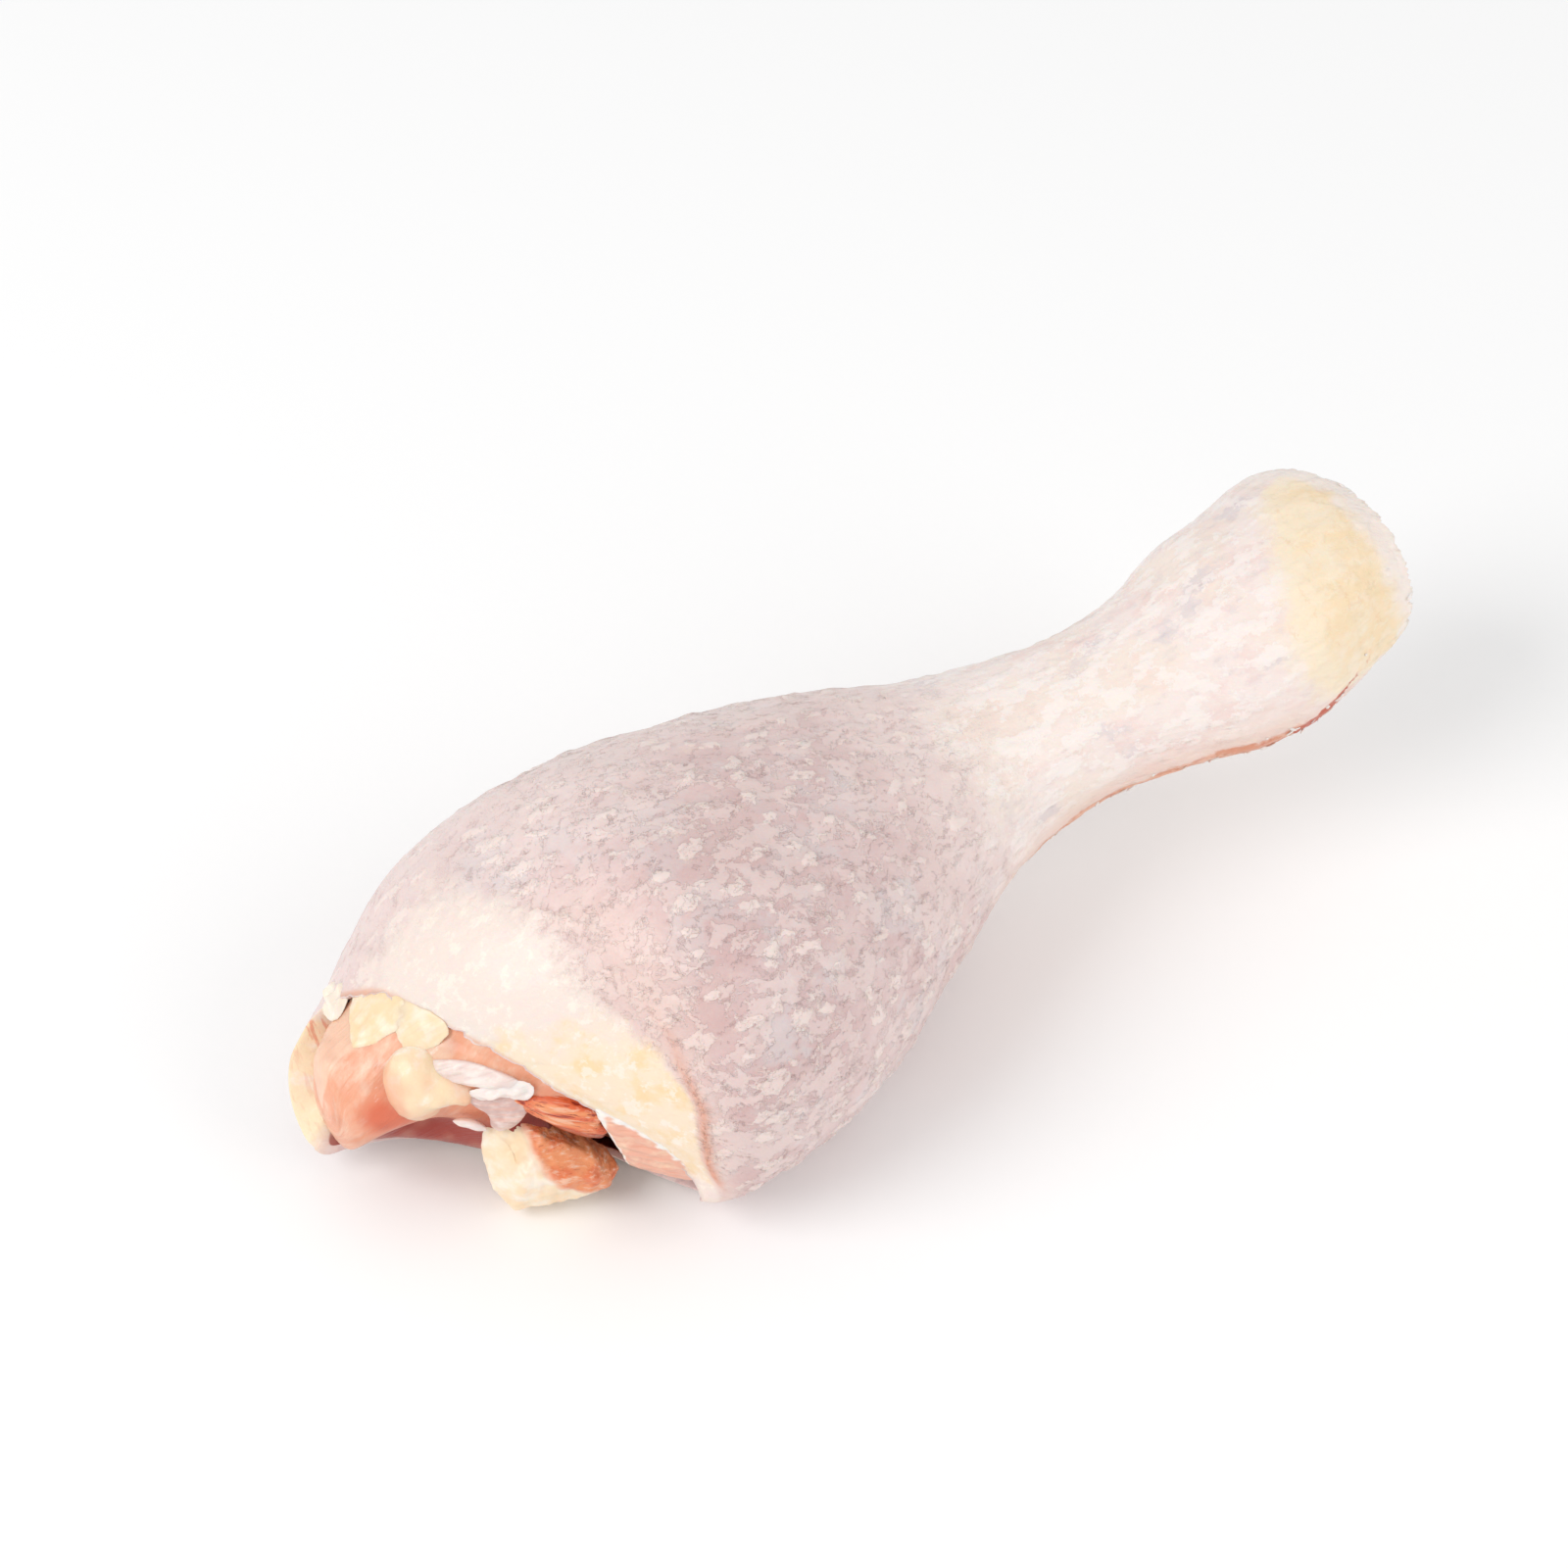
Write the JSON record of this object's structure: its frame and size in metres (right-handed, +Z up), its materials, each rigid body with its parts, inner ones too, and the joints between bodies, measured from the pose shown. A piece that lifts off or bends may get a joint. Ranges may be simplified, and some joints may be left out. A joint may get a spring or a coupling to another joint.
{
  "type": "raw chicken drumstick",
  "caption": "Raw lower leg of a chicken with its skin on: round meaty belly, slim shank, hock end, and a cut knee end with bare meat, bone and sinew",
  "frame": {"origin": "on the floor, under the middle of the whole drumstick's box, which lies on the flat of its belly", "axes": "+X along the leg from the cut knee end to the hock end, +Y to the far side, +Z up"},
  "size_m": [0.1476, 0.0579, 0.0453],
  "materials": {
    "skin": "moist satin",
    "meat": "moist",
    "bone": "moist satin",
    "sinew": "moist gloss",
    "red_meat": "moist",
    "fat": "greasy satin"
  },
  "bodies": {
    "root": {"skin": "skin", "meat": "meat", "leg_bone": "bone", "knuckle": "bone", "tendon": "sinew", "ligament": "sinew", "red_muscle": "red_meat", "fat_pad": "fat", "flap": "meat"}
  },
  "joints": []
}
